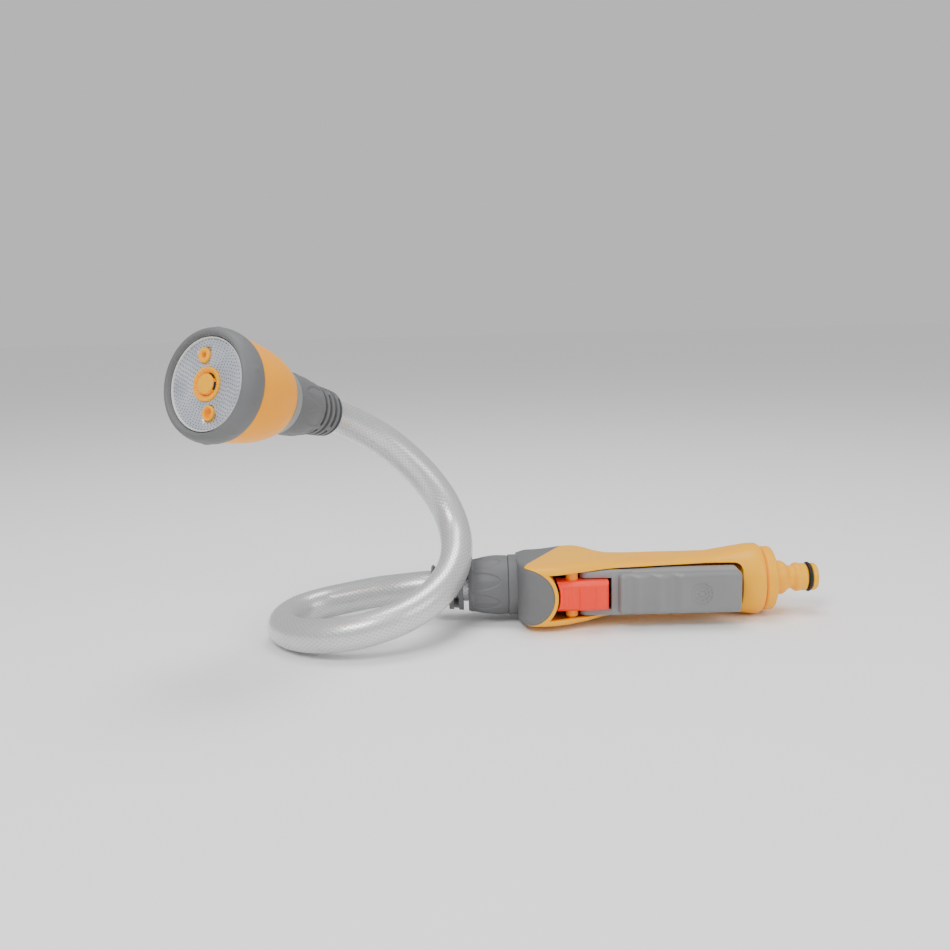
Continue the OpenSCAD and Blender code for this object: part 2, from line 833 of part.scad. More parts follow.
module distributor() {
    z = distributor_z;
    hub = 2;
    color("#C9CBCC") in_frame()
        on_head()
            difference() {
                union() {
                    ring(z[0], z[1], bowl_bore_r, screw_r);
                    ring(z[0] - hub, z[0] + tiny, 8, screw_r);
                }
                rotate(face_turn + 90)
                    translate([port_at, 0, z[0] - 1])
                        cylinder(h = 10, r = port_r, $fn = 40);
                rotate(face_turn + 45)
                    translate([ball_at, 0, z[1] + ball_lift - ball_r])
                        cylinder(h = 4, r = ball_r + running_gap, $fn = 32);
            }
}

module port_seal() {
    color("#2B2B2B") in_frame()
        on_head()
            rotate(face_turn + 90)
                translate([port_at, 0, 0])
                    ring(distributor_z[1], carrier_z[0] - loose_gap, port_r + 1.6, port_r);
}

module detent_ball() {
    color("#B8BABC") in_frame()
        on_head()
            rotate(face_turn + 45)
                translate([ball_at, 0, distributor_z[1] + ball_lift])
                    sphere(r = ball_r, $fn = 32);
}

module face_carrier() {
    z = carrier_z;
    color("#5F6163") in_frame()
        on_head()
            difference() {
                ring(z[0], z[1], bowl_bore_r - 0.4, screw_r + running_gap);
                for (turn = [0 : 90 : 270])
                    rotate(face_turn + turn)
                        translate([port_at, 0, z[0] - 1])
                            cylinder(h = 10, r = port_r, $fn = 40);
            }
}

module face_screw() {
    head_r = 5;
    head_t = 2;
    hub_back = distributor_z[0] - 2;
    color("#B8BABC") in_frame()
        on_head() {
            translate([0, 0, hub_back - head_t])
                cylinder(h = head_t, r = head_r, $fn = 40);
            translate([0, 0, hub_back - tiny])
                cylinder(h = carrier_z[1] + loose_gap - hub_back + 2 * tiny, r = screw_r, $fn = 40);
            translate([0, 0, carrier_z[1] + loose_gap])
                cylinder(h = head_t, r = head_r, $fn = 40);
        }
}

module bezel() {
    r = bezel_r;
    z = bowl_front + 0.4;
    color("#6F7173") in_frame()
        on_head()
            rotate_extrude($fn = 120)
                polygon([
                    [r - 1.2, z], [r - 0.3, z + 2.6], [r, z + 5.4], [r, z + 8.6],
                    [r - 0.6, z + 10.8], [r - 1.7, bezel_front - 0.6], [r - 2.9, bezel_front],
                    [rose_r + 1.6, bezel_front - 0.3], [rose_r + 0.5, head_l + 0.6],
                    [rose_r + 0.2, head_l - 0.2], [rose_r + 0.2, plate_z[0]],
                    [rose_r - 1.6, plate_z[0]], [rose_r - 1.6, carrier_z[1]],
                    [r - 4.8, carrier_z[1]], [r - 4.8, z]
                ]);
}

module rose_plate() {
    rows = 3;
    color("#D3D7DC") in_frame()
        on_head()
            rotate(face_turn)
                difference() {
                    translate([0, 0, plate_z[0]])
                        cylinder(h = plate_z[1] - plate_z[0], r = rose_r, $fn = 96);
                    translate([0, 0, plate_z[0] - 1])
                        cylinder(h = 5, r = cone_r + running_gap, $fn = 64);
                    for (side = [-1, 1])
                        translate([side * jet_at, 0, plate_z[0] - 1])
                            cylinder(h = 5, r = jet_r + running_gap, $fn = 48);
                    for (row = [0 : rows - 1], k = [0 : 23 - 3 * row])
                        rotate(360 * (k + row / 2) / (24 - 3 * row))
                            translate([rose_r - 1.7 - row * 1.3, 0, plate_z[0] - 1])
                                cylinder(h = 5, r = 0.35, $fn = 16);
                }
}

module cone_nozzle() {
    z = plate_z[0];
    color("#FDB813") in_frame()
        on_head()
            rotate_extrude($fn = 72)
                polygon([
                    [0, z - 1.2], [cone_r + 0.9, z - 1.2], [cone_r + 0.9, z], [cone_r, z],
                    [cone_r, head_l + 0.6], [cone_r - 0.6, head_l + 1.2],
                    [cone_r - 1.6, head_l + 1.2], [5.4, head_l - 0.4], [5.2, head_l - 0.6],
                    [5, head_l - 0.4], [4.8, head_l + 1.2], [4.2, head_l + 1.8], [0, head_l + 1.8]
                ]);
}

// A jet nozzle: a short tube through the rose plate, with a flange behind it
jet_r = 3.6;
module jet(bore) {
    z = plate_z[0];
    ring(z - tiny, head_l + 1.4, jet_r, bore);
    ring(z - 1, z, jet_r + 0.8, bore);
}

module fine_jet() {
    color("#F9A825") in_frame()
        on_head()
            rotate(face_turn)
                translate([-jet_at, 0, 0])
                    jet(1.5);
}

module flat_jet() {
    color("#F9A825") in_frame()
        on_head()
            rotate(face_turn)
                translate([jet_at, 0, 0])
                    jet(2.4);
}

handle_shell();
nose_housing();
inlet_spigot();
inlet_seal_ring();
inlet_strainer();
inlet_tube();
outlet_tube();
valve_body();
valve_cap();
valve_stem();
stem_seal_ring();
valve_spring();
trigger_lever();
finger_pad();
trigger_pin();
trigger_lock();
lock_pin();
handle_nut();
handle_collet();
hose_low();
hose_mid();
hose_top();
wire_low();
wire_mid();
wire_top();
head_nut();
head_collet();
head_tail();
bowl();
bowl_seal_ring();
distributor();
port_seal();
detent_ball();
face_carrier();
face_screw();
bezel();
rose_plate();
cone_nozzle();
fine_jet();
flat_jet();
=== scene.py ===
import json
import math

import bmesh
import bpy
from mathutils import Matrix, Vector

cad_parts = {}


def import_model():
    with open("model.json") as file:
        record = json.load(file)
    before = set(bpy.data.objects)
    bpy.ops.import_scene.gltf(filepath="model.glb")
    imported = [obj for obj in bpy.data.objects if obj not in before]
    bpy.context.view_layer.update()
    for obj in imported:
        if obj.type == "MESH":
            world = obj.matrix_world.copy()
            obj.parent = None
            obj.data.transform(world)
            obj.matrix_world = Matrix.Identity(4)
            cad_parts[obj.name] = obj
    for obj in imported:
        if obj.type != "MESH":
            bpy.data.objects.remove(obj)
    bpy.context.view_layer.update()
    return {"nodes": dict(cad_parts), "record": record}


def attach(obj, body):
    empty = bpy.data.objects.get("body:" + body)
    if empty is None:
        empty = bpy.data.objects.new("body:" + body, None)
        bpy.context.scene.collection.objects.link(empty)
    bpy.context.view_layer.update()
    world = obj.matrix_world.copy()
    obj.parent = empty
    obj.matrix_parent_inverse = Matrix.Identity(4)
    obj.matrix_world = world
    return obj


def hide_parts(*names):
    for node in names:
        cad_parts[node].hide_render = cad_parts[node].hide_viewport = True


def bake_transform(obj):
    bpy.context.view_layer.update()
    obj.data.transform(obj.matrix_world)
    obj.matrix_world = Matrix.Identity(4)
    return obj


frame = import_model()

MM = 0.001
AXIS_H = 20.5
HEAD_AT = Vector((-279, -26, 126))
HEAD_TURN, HEAD_TILT = math.radians(-120.6), math.radians(14.8)
HEAD_DIR = Vector((math.cos(HEAD_TILT) * math.cos(HEAD_TURN),
                   math.cos(HEAD_TILT) * math.sin(HEAD_TURN), math.sin(HEAD_TILT)))
HEAD_R, BACK_Y = 27.5, 26.6
REACH = HEAD_AT + HEAD_DIR * 88
SHIFT = Vector((
    -(REACH.x - HEAD_R * math.sqrt(1 - HEAD_DIR.x ** 2) + 0.6 - 2) / 2,
    -(REACH.y - HEAD_R * math.sqrt(1 - HEAD_DIR.y ** 2) + BACK_Y) / 2,
    0,
))


def world(p):
    """A point in the handle's own millimetres, in the part's frame in metres."""
    return (Vector(p) + SHIFT) * MM


# Frames in which round pieces are drawn along their own z
HANDLE = Matrix(((0, 0, 1, 0), (0, 1, 0, 0), (-1, 0, 0, AXIS_H), (0, 0, 0, 1)))
HEAD = (Matrix.Translation(HEAD_AT) @ Matrix.Rotation(HEAD_TURN, 4, "Z")
        @ Matrix.Rotation(math.pi / 2 - HEAD_TILT, 4, "Y"))
LIFT = Matrix.Translation((0, 0, AXIS_H))
HERE = Matrix.Identity(4)


# ---------------------------------------------------------------- camera and floor
def place_camera():
    """A camera in front of the trigger side, looking slightly down."""
    cam = bpy.data.objects.new("camera", bpy.data.cameras.new("camera"))
    bpy.context.scene.collection.objects.link(cam)
    cam.data.lens = 37.07
    cam.data.sensor_width = 36
    cam.data.clip_start = 0.01
    pitch, roll = math.radians(-9.67), math.radians(-1.5)
    ahead = Vector((0, math.cos(pitch), math.sin(pitch)))
    right, up = Vector((1, 0, 0)), Vector((0, -math.sin(pitch), math.cos(pitch)))
    r = right * math.cos(roll) + up * math.sin(roll)
    u = up * math.cos(roll) - right * math.sin(roll)
    m = Matrix((r, u, -ahead)).transposed().to_4x4()
    m.translation = world((-199.1, -552, 179.7))
    cam.matrix_world = m
    bpy.context.scene.camera = cam


place_camera()


# ---------------------------------------------------------------- shader arithmetic
class Wire:
    """A node socket that Python's own arithmetic works on."""

    def __init__(self, shader, socket):
        self.shader, self.socket = shader, socket

    def op(self, kind, *others):
        return self.shader.add("ShaderNodeMath", {"operation": kind}, self, *others)

    def __add__(self, o):
        return self.op("ADD", o)

    def __sub__(self, o):
        return self.op("SUBTRACT", o)

    def __rsub__(self, o):
        return self.shader.add("ShaderNodeMath", {"operation": "SUBTRACT"}, o, self)

    def __mul__(self, o):
        return self.op("MULTIPLY", o)

    def __truediv__(self, o):
        return self.op("DIVIDE", o)

    def __lt__(self, o):
        return self.op("LESS_THAN", o)

    def __gt__(self, o):
        return self.op("GREATER_THAN", o)

    __radd__ = __add__
    __rmul__ = __mul__


class Shader:
    """One material: its principled shader and the nodes that feed it."""

    def __init__(self, name, **constants):
        self.mat = bpy.data.materials.new(name)
        self.mat.use_nodes = True
        self.tree = self.mat.node_tree
        self.bsdf = self.tree.nodes["Principled BSDF"]
        for key, value in constants.items():
            self.bsdf.inputs[key.replace("_", " ")].default_value = value

    def add(self, kind, settings=None, *values, out=0, **named):
        node = self.tree.nodes.new(kind)
        for key, value in (settings or {}).items():
            setattr(node, key, value)
        for place, value in list(enumerate(values)) + list(named.items()):
            key = place if isinstance(place, int) else place.replace("_", " ")
            if isinstance(value, Wire):
                self.tree.links.new(value.socket, node.inputs[key])
            else:
                node.inputs[key].default_value = value
        return Wire(self, node.outputs[out])

    def coords(self, kind="Object"):
        return self.add("ShaderNodeTexCoord", out=kind)

    def parts(self, vector):
        node = self.tree.nodes.new("ShaderNodeSeparateXYZ")
        self.tree.links.new(vector.socket, node.inputs[0])
        return [Wire(self, s) for s in node.outputs]

    def noise(self, scale, detail=3.0, vector=None):
        return self.add("ShaderNodeTexNoise", None, Vector=vector or self.coords(), Scale=scale, Detail=detail)

    def ramp(self, x, low, high):
        """0 below low, 1 above high, smooth between."""
        return self.add("ShaderNodeMapRange", {"interpolation_type": "SMOOTHSTEP"}, x, low, high, 0.0, 1.0)

    def blend(self, factor, a, b):
        node = self.tree.nodes.new("ShaderNodeMix")
        node.data_type = "RGBA"
        for place, value in ((0, factor), (6, a), (7, b)):
            if isinstance(value, Wire):
                self.tree.links.new(value.socket, node.inputs[place])
            else:
                node.inputs[place].default_value = value if place == 0 else (*value, 1.0)[:4]
        return Wire(self, node.outputs[2])

    def feed(self, key, wire):
        self.tree.links.new(wire.socket, self.bsdf.inputs[key])

    def bump(self, height, strength, distance):
        b = self.add("ShaderNodeBump", None, Strength=strength, Distance=distance, Height=height)
        self.feed("Normal", b)


def plastic(name, light, dark, rough=0.4, grain=2600, depth=0.00002, coat=0.0, dust=(0.9, 0.9, 0.88)):
    """Moulded plastic: a fine grain, slow changes of tone, faint scuffs and a trace of dust."""
    s = Shader(name, Coat_Weight=coat, Coat_Roughness=0.18, Specular_IOR_Level=0.25)
    tone = s.noise(38, 4)
    fine = s.noise(grain, 2)
    scuff = s.ramp(s.noise(320, 6), 0.63, 0.74)
    colour = s.blend(s.ramp(tone, 0.3, 0.7), dark, light)
    colour = s.blend(scuff * 0.06, colour, dust)
    s.feed("Base Color", colour)
    s.feed("Roughness", tone * 0.12 + scuff * 0.12 + (rough - 0.06))
    s.bump(fine + scuff * 0.6, 0.35, depth)
    return s.mat


def metal(name, light, rough=0.3, grain=900):
    """Turned or drawn metal with fine tool lines."""
    s = Shader(name, Metallic=1.0)
    lines = s.noise(grain, 3)
    s.feed("Base Color", s.blend(lines, tuple(c * 0.86 for c in light), light))
    s.feed("Roughness", lines * 0.2 + (rough - 0.1))
    s.bump(lines, 0.2, 0.00001)
    return s.mat


YELLOW = plastic("yellow_plastic", (1.0, 0.47, 0.0), (1.0, 0.43, 0.0), rough=0.42, depth=0.000012, coat=0.12,
                 dust=(1.0, 0.75, 0.3))
ORANGE = plastic("orange_plastic", (1.0, 0.39, 0.0), (1.0, 0.36, 0.0), rough=0.4, depth=0.00001,
                 dust=(1.0, 0.7, 0.3))
DEEP_ORANGE = plastic("nozzle_orange", (1.0, 0.45, 0.0), (1.0, 0.41, 0.0), rough=0.42, depth=0.00001,
                      dust=(1.0, 0.7, 0.3))
GREY = plastic("grey_plastic", (0.152, 0.155, 0.158), (0.135, 0.138, 0.141), rough=0.5, depth=0.00003,
               dust=(0.3, 0.3, 0.3))
SOFT = plastic("soft_grey_rubber", (0.205, 0.209, 0.212), (0.19, 0.194, 0.197), rough=0.5, grain=3400,
               depth=0.000015, coat=0.5, dust=(0.4, 0.4, 0.4))
LIGHT = plastic("light_grey_plastic", (0.27, 0.275, 0.28), (0.25, 0.254, 0.26), rough=0.45, depth=0.00002,
                dust=(0.5, 0.5, 0.5))
RED = plastic("red_plastic", (0.98, 0.05, 0.02), (0.95, 0.04, 0.016), rough=0.42, depth=0.00001,
              dust=(1.0, 0.5, 0.4))
BLACK = plastic("black_rubber", (0.016, 0.016, 0.016), (0.01, 0.01, 0.01), rough=0.45, grain=4000,
                dust=(0.08, 0.08, 0.08))
DARK = plastic("dark_nylon", (0.05, 0.05, 0.052), (0.035, 0.035, 0.037), rough=0.55, dust=(0.12, 0.12, 0.12))
WHITE = plastic("white_acetal", (0.7, 0.7, 0.68), (0.62, 0.62, 0.6), rough=0.4)
STEEL = metal("turned_steel", (0.62, 0.63, 0.65))
BRASS = metal("turned_brass", (0.72, 0.52, 0.22))
WIRE = metal("drawn_wire", (0.5, 0.51, 0.53), rough=0.4)


def hose_material(turns, pitch):
    """Clear vinyl over a fine diagonal braid of silvery strands."""
    s = Shader("braided_hose", Coat_Weight=1.0, Coat_Roughness=0.1, Specular_IOR_Level=0.5)
    u, v, _ = s.parts(s.coords("UV"))
    left, right = u * turns + v * pitch, u * turns - v * pitch
    strand = left.op("SINE").op("MAXIMUM", right.op("SINE"))
    over = s.ramp(strand, -0.1, 0.75)
    weave = s.ramp((u * turns).op("SINE") * (v * pitch).op("SINE"), -0.4, 0.4)
    fibre = ((left * 5).op("SINE") * weave + (right * 5).op("SINE") * (1 - weave)) * 0.5 + 0.5
    cloud = s.ramp(s.noise(45, 3), 0.35, 0.7)
    colour = s.blend(over, (0.50, 0.505, 0.515), (0.66, 0.665, 0.675))
    colour = s.blend(fibre * over * 0.2, colour, (0.85, 0.85, 0.855))
    colour = s.blend(cloud * 0.25, colour, (0.48, 0.485, 0.495))
    s.feed("Base Color", colour)
    s.feed("Metallic", over * 0.3 + 0.35)
    s.feed("Roughness", 0.4 - over * 0.12)
    s.bump(over + fibre * 0.2, 0.5, 0.00012)
    return s.mat


def plate_material():
    """Satin plate with rings of fine holes round its centre; the holes are painted as near-black spots of shade
    with a dent.
    """
    s = Shader("pierced_plate", Specular_IOR_Level=0.5)
    x, y, _ = s.parts(s.coords())
    r = ((x * x + y * y).op("SQRT")) * 1000
    angle = y.op("ARCTAN2", x) / (2 * math.pi) + 0.5
    gap = 1.28
    row = (r / gap).op("FLOOR")
    count = (row * 4.2 + 2).op("FLOOR")
    along = (angle * count + row * 0.37).op("FRACT") - 0.5
    across = (r / gap).op("FRACT") - 0.5
    wide = along * (row + 0.5) * (2 * math.pi * gap) / count
    away = (wide * wide + (across * gap) * (across * gap)).op("SQRT")
    # Mask of the fine holes; their dark colour below is painted shade.
    hole_shade = 1 - s.ramp(away, 0.26, 0.4)
    hole_shade = hole_shade * (r > 7.6) * (r < 21.6)
    tone = s.noise(60, 3)
    colour = s.blend(s.ramp(tone, 0.3, 0.7), (0.5, 0.535, 0.6), (0.68, 0.71, 0.77))
    # Painted shade: the holes are coloured near black for the dark inside them.
    s.feed("Base Color", s.blend(hole_shade * 0.92, colour, (0.07, 0.085, 0.12)))
    s.feed("Metallic", 0.6 - hole_shade * 0.5)
    s.feed("Roughness", tone * 0.15 + 0.3)
    s.bump(1 - hole_shade, 0.6, 0.0002)
    return s.mat


# ---------------------------------------------------------------- mesh helpers
def piece(name, verts, faces, material, matrix=HERE, smooth=True, uvs=None):
    """A mesh piece drawn in millimetres in a local frame, with its own origin where that frame stands."""
    me = bpy.data.meshes.new(name)
    me.from_pydata([Vector(v) * MM for v in verts], [], faces)
    bm = bmesh.new()
    bm.from_mesh(me)
    bmesh.ops.recalc_face_normals(bm, faces=bm.faces)
    if uvs:
        layer = bm.loops.layers.uv.new("UVMap")
        for f in bm.faces:
            for loop in f.loops:
                loop[layer].uv = uvs[loop.vert.index]
    bm.to_mesh(me)
    bm.free()
    for p in me.polygons:
        p.use_smooth = smooth
    me.materials.append(material)
    ob = bpy.data.objects.new(name, me)
    bpy.context.scene.collection.objects.link(ob)
    place = matrix.copy()
    place.translation = world(matrix.translation)
    ob.matrix_world = place
    return ob


def rings_mesh(rings, closed_ends=True, loop=False):
    """Vertices and faces of rings of points joined side by side."""
    n = len(rings[0])
    verts = [p for r in rings for p in r]
    faces = []
    last = len(rings) if loop else len(rings) - 1
    for k in range(last):
        k2 = (k + 1) % len(rings)
        for i in range(n):
            j = (i + 1) % n
            faces.append((k * n + i, k * n + j, k2 * n + j, k2 * n + i))
    if closed_ends and not loop:
        faces.append(tuple(range(n))[::-1])
        faces.append(tuple((len(rings) - 1) * n + i for i in range(n)))
    return verts, faces


def lathe(name, outline, material, matrix, sides=96, shape=None, smooth=True):
    """A closed outline of (radius, distance) turned about z; shape may move a point by its angle."""
    rings = []
    for k in range(sides):
        a = 2 * math.pi * k / sides
        ring = []
        for r, z in outline:
            rr, zz = shape(r, z, a) if shape else (r, z)
            ring.append((rr * math.cos(a), rr * math.sin(a), zz))
        rings.append(ring)
    verts, faces = rings_mesh(rings, loop=True)
    return piece(name, verts, faces, material, matrix, smooth)


def rounded(outline, radius=0.5, steps=4):
    """The outline with its corners rounded off; radius may be one value or one per point."""
    out = []
    n = len(outline)
    for i, p in enumerate(outline):
        a, b = Vector(outline[i - 1]), Vector(outline[(i + 1) % n])
        p = Vector(p)
        want = radius[i] if isinstance(radius, (list, tuple)) else radius
        u, v = (a - p), (b - p)
        d = min(want, u.length * 0.45, v.length * 0.45)
        if d < 0.01 or abs(u.normalized().cross(v.normalized())) < 0.02:
            out.append(tuple(p))
            continue
        s, e = p + u.normalized() * d, p + v.normalized() * d
        for k in range(steps + 1):
            t = k / steps
            out.append(tuple(s * (1 - t) ** 2 + p * (2 * t * (1 - t)) + e * t ** 2))
    return out


def finer(outline, step):
    """The outline with points added so that no side is longer than step."""
    out = []
    n = len(outline)
    for i, p in enumerate(outline):
        q = outline[(i + 1) % n]
        length = math.dist(p, q)
        parts = max(1, math.ceil(length / step))
        out += [(p[0] + (q[0] - p[0]) * k / parts, p[1] + (q[1] - p[1]) * k / parts) for k in range(parts)]
    return out


def boolean(ob, cutter, kind="DIFFERENCE"):
    """Cuts, joins or crosses a piece with another, which is used up."""
    m = ob.modifiers.new("cut", "BOOLEAN")
    m.operation, m.solver, m.object = kind, "EXACT", cutter
    apply_all(ob)
    bpy.data.objects.remove(cutter)


def apply_all(ob):
    """Turns a piece's modifiers into plain mesh."""
    bpy.context.view_layer.update()
    graph = bpy.context.evaluated_depsgraph_get()
    me = bpy.data.meshes.new_from_object(ob.evaluated_get(graph))
    ob.modifiers.clear()
    ob.data = me


def soften(ob, width, segments=3, angle=30):
    """Rounds every edge sharper than angle and shades the piece smooth."""
    bm = bmesh.new()
    bm.from_mesh(ob.data)
    bmesh.ops.remove_doubles(bm, verts=bm.verts, dist=0.00001)
    bmesh.ops.dissolve_degenerate(bm, edges=bm.edges, dist=0.00001)
    bm.to_mesh(ob.data)
    bm.free()
    b = ob.modifiers.new("bevel", "BEVEL")
    b.width, b.segments, b.limit_method = width * MM, segments, "ANGLE"
    b.angle_limit = math.radians(angle)
    b.use_clamp_overlap = True
    b.harden_normals = False
    apply_all(ob)
    for p in ob.data.polygons:
        p.use_smooth = True
    ob.data.set_sharp_from_angle(angle=math.radians(38))


def prism(name, outline, low, high, material, axis="z", matrix=HERE):
    """An outline pushed from low to high along an axis."""
    turn = {"z": lambda u, v, w: (u, v, w), "y": lambda u, v, w: (u, w, v), "x": lambda u, v, w: (w, u, v)}[axis]
    verts, faces = rings_mesh([[turn(u, v, w) for u, v in outline] for w in (low, high)])
    return piece(name, verts, faces, material, matrix, smooth=False)


def arc(cx, cy, r, a0, a1, n):
    """Points on an arc, from angle a0 to a1 in degrees."""
    angles = [math.radians(a0 + (a1 - a0) * k / n) for k in range(n + 1)]
    return [(cx + r * math.cos(a), cy + r * math.sin(a)) for a in angles]


def rod(name, centre, axis, r, length, material, sides=64):
    """A plain round cutter or pin, centred."""
    outline = arc(0, 0, r, 0, 360 - 360 / sides, sides - 1)
    z = Vector(axis).normalized()
    m = z.to_track_quat("Z", "Y").to_matrix().to_4x4()
    m.translation = Vector(centre)
    return prism(name, outline, -length / 2, length / 2, material, matrix=m)


def cubic(a, b, slope_a, slope_b, t):
    """The curve from a to b that has the given slopes at its ends, at t from 0 to 1."""
    return (a * (2 * t ** 3 - 3 * t ** 2 + 1) + slope_a * (t ** 3 - 2 * t ** 2 + t)
            + b * (3 * t ** 2 - 2 * t ** 3) + slope_b * (t ** 3 - t ** 2))


def spline(points, steps):
    """A smooth line through the points."""
    pts = [Vector(p) for p in points]
    pts = [pts[0] * 2 - pts[1]] + pts + [pts[-1] * 2 - pts[-2]]
    out = []
    for i in range(1, len(pts) - 2):
        p0, p1, p2, p3 = pts[i - 1:i + 3]
        d0, d1, d2 = [max((b - a).length, 1e-6) ** 0.5 for a, b in ((p0, p1), (p1, p2), (p2, p3))]
        m1 = (p1 - p0) / d0 - (p2 - p0) / (d0 + d1) + (p2 - p1) / d1
        m2 = (p2 - p1) / d1 - (p3 - p1) / (d1 + d2) + (p3 - p2) / d2
        m1, m2 = m1 * d1, m2 * d1
        for k in range(steps):
            out.append(cubic(p1, p2, m1, m2, k / steps))
    return out + [pts[-2]]


# ---------------------------------------------------------------- the hose
SLEEVE_TIP = Vector((-226, 0, AXIS_H))
ROUTE_LOW = [
    (-241, 1, 19.2), (-257, 3.5, 17), (-273, 4, 14.2), (-289, 2, 11.6), (-301.5, -6, 10),
    (-307.5, -19, 9.2), (-306.5, -34, 9.2), (-298.5, -47, 9.8), (-286.5, -56.5, 11.2),
    (-272, -61.5, 13.2), (-257, -61.5, 15.8), (-242, -57, 19.4), (-229.5, -49, 24),
    (-219.5, -38, 29.8), (-213, -25.5, 37), (-210.5, -13.5, 46), (-212.4, -2.2, 57),
    (-218, 4.6, 69.5),
]
ROUTE_HIGH = [(-227, 7.4, 82.5), (-237.5, 6.4, 94.5), (-248.5, 2.6, 105), (-259.5, -4, 113.4), (-270, -14, 120.6)]
HOSE_R = 9.1


def frames_along(line):
    """For every point of a line: its place, two square directions without twist, and the length so far."""
    tangents = [(line[min(i + 1, len(line) - 1)] - line[max(i - 1, 0)]).normalized() for i in range(len(line))]
    side = tangents[0].orthogonal().normalized()
    out, length = [], 0
    for i, (p, t) in enumerate(zip(line, tangents)):
        if i:
            length += (p - line[i - 1]).length
        side = (side - t * side.dot(t)).normalized()
        out.append((p, side.copy(), t.cross(side), length))
    return out


def tube(name, frames, radius, material):
    """A round tube along some frames, with its length in millimetres as its second texture axis."""
    sides = 40
    n = sides + 1
    rings, uvs = [], []
    for p, side, up, length in frames:
        turns = [2 * math.pi * k / sides for k in range(n)]
        uvs += [(k / sides, length) for k in range(n)]
        rings.append([p + (side * math.cos(a) + up * math.sin(a)) * radius for a in turns])
    verts = [p for r in rings for p in r]
    faces = [(i * n + k, i * n + k + 1, (i + 1) * n + k + 1, (i + 1) * n + k)
             for i in range(len(rings) - 1) for k in range(sides)]
    return piece(name, verts, faces, material, uvs=uvs)


def make_hose():
    """The braided hose: one smooth line, split where the lower bend ends."""
    inside_handle = [SLEEVE_TIP + Vector((x, 0, 0)) for x in (30, 10, -2)]
    inside_head = [HEAD_AT + HEAD_DIR * d for d in (-2, 10, 28)]
    line = spline(inside_handle + ROUTE_LOW + ROUTE_HIGH + inside_head, 12)
    seam = min(range(len(line)), key=lambda i: (line[i] - Vector(ROUTE_LOW[-1])).length)
    skin = hose_material(24 * 2 * math.pi, 2 * math.pi / 3)
    frames = frames_along(line)
    for name, part, bodies, start, end, covers in (
        ("hose_loop", frames[:seam + 1], ("handle", "riser"), (-211, -17, 42), (-217.5, 4, 68.5),
         ("hose_low",)),
        ("hose_neck", frames[seam:], ("riser", "head"), (-245, 4, 101.5), (-273, -18, 123),
         ("hose_mid", "hose_top")),
    ):
        ob = tube(name, part, HOSE_R, skin)
        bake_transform(ob)
        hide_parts(*covers)


make_hose()


def done(ob, body, slot, *nodes):
    """Fixes a piece to its body and hides the CAD nodes it stands for; the slot is not used."""
    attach(ob, body)
    if nodes:
        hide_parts(*nodes)
    return ob


# ---------------------------------------------------------------- handle shell and nose
FRONT_HALF, GRIP_HALF, TAIL_R, WALL, CHEEK_X, CHEEK_R = 17.5, 15.7, 20.5, 2.2, -172.8, 16
SKIN = [
    (-176.5, -19, 17.4, FRONT_HALF - 0.5, 4), (-174, -27, 17.6, FRONT_HALF - 0.2, 6),
    (-170, -30.6, 18, FRONT_HALF, 9), (-164, -32, 18.8, FRONT_HALF, 9),
    (-157, -31.6, 21.4, FRONT_HALF, 9), (-150, -29.6, 25, FRONT_HALF, 9),
    (-142.5, -26.6, 26.6, FRONT_HALF, 8), (-136, -24.4, 24, FRONT_HALF - 0.3, 6.4),
    (-130, -22.6, 19, GRIP_HALF + 0.8, 5), (-122, -21, 16, GRIP_HALF + 0.2, 4.2),
    (-107, -19, 14.8, GRIP_HALF, 4.4), (-84, -16.4, 14.8, GRIP_HALF, 4.2),
    (-68, -15.2, 15.4, GRIP_HALF + 0.3, 3.4), (-56, -15.8, 17, GRIP_HALF + 2, 2.8),
    (-47.5, -18.2, 19, TAIL_R - 1, 2.2), (-40, -19.9, 20.1, TAIL_R, 2.04),
    (-37, -20, 20.2, TAIL_R, 2), (-36, -19.2, 19.4, TAIL_R - 1, 2),
]


def station(x):
    """The skin's section at x, smooth between the stations."""
    rows = SKIN
    i = max(1, min(len(rows) - 1, next((k for k, r in enumerate(rows) if r[0] >= x), len(rows) - 1)))
    a, b = rows[i - 1], rows[i]
    h = b[0] - a[0]
    t = min(1, max(0, (x - a[0]) / h))

    def slope(k, col):
        if k in (0, len(rows) - 1):
            return 0
        d0 = (rows[k][col] - rows[k - 1][col]) / (rows[k][0] - rows[k - 1][0])
        d1 = (rows[k + 1][col] - rows[k][col]) / (rows[k + 1][0] - rows[k][0])
        return 0 if d0 * d1 <= 0 else 2 * d0 * d1 / (d0 + d1)

    out = [x]
    for col in range(1, 5):
        m0, m1 = slope(i - 1, col), slope(i, col)
        out.append(cubic(a[col], b[col], m0 * h, m1 * h, t))
    return out


def skin_solid(name, inset, x0, x1, material, step=1.6):
    """The handle's outer form between two places, or the same form drawn in by the inset."""
    points, rings = 96, []
    count = max(2, int((x1 - x0) / step))
    xs = [x0 + (x1 - x0) * k / count for k in range(count + 1)]
    for x in xs:
        _, front, back, half, square = station(x)
        depth = (back - front) / 2 - inset
        ring = []
        for k in range(points):
            a = 2 * math.pi * k / points
            c, s = math.cos(a), math.sin(a)
            y = (front + back) / 2 + depth * math.copysign(abs(c) ** (2 / square), c)
            z = AXIS_H + (half - inset) * math.copysign(abs(s) ** (2 / square), s)
            ring.append((x, y, z))
        rings.append(ring)
    return piece(name, *rings_mesh(rings), material)


def seam_cutter():
    """Everything in front of the slanted seam between nose and shell."""
    return prism("seam", [(-230, -60), (-192, -60), (-138.5, 40), (-230, 40)], -40, 80, GREY)


def cheek_cutter(r):
    """The round opening for the nose's cheek."""
    return rod("cheek", (CHEEK_X, -37, AXIS_H), (0, 1, 0), r, 46, GREY, 128)


